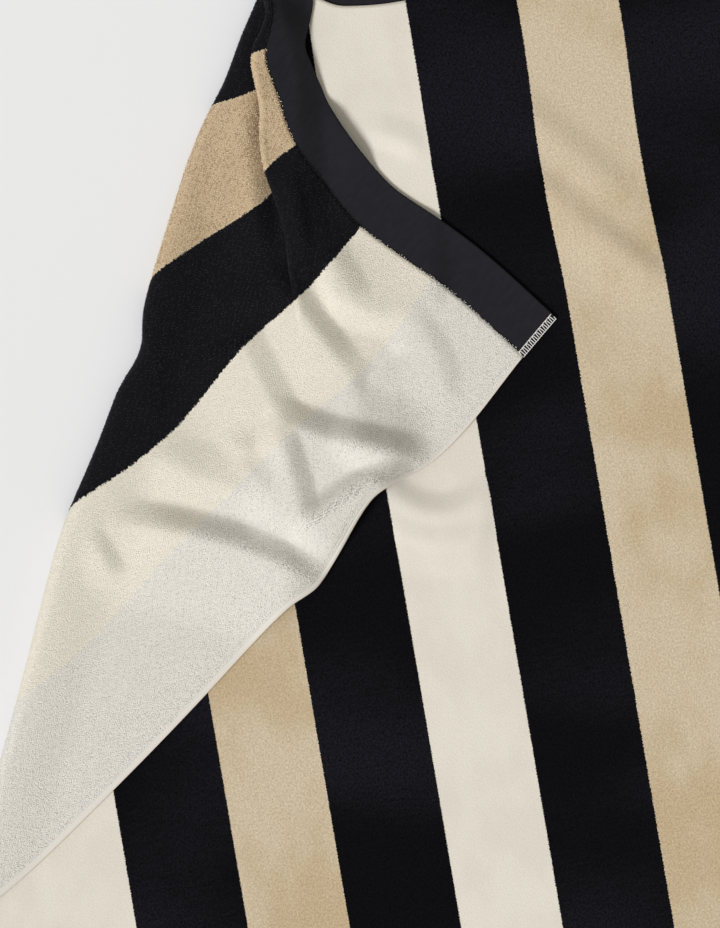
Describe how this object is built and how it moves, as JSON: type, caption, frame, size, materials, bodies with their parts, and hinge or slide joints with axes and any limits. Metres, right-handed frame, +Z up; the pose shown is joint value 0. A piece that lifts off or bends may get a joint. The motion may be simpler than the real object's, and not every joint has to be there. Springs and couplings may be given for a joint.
{
  "type": "beach towel",
  "caption": "Striped velour beach towel lying face up, one end corner turned over onto it, with a terry back and a flat-woven end band",
  "frame": {"origin": "middle of the towel's outline as it lies, on the surface that it lies on", "axes": "+Z is up; +Y runs along the towel's length towards the end with the turned corner; +X runs across its width, away from the turned corner"},
  "size_m": [0.9028, 1.726, 0.0298],
  "materials": {
    "cotton": "matt cotton pile, striped in cream, black and tan by the visual file"
  },
  "bodies": {
    "root": {"towel": "cotton"}
  },
  "joints": []
}
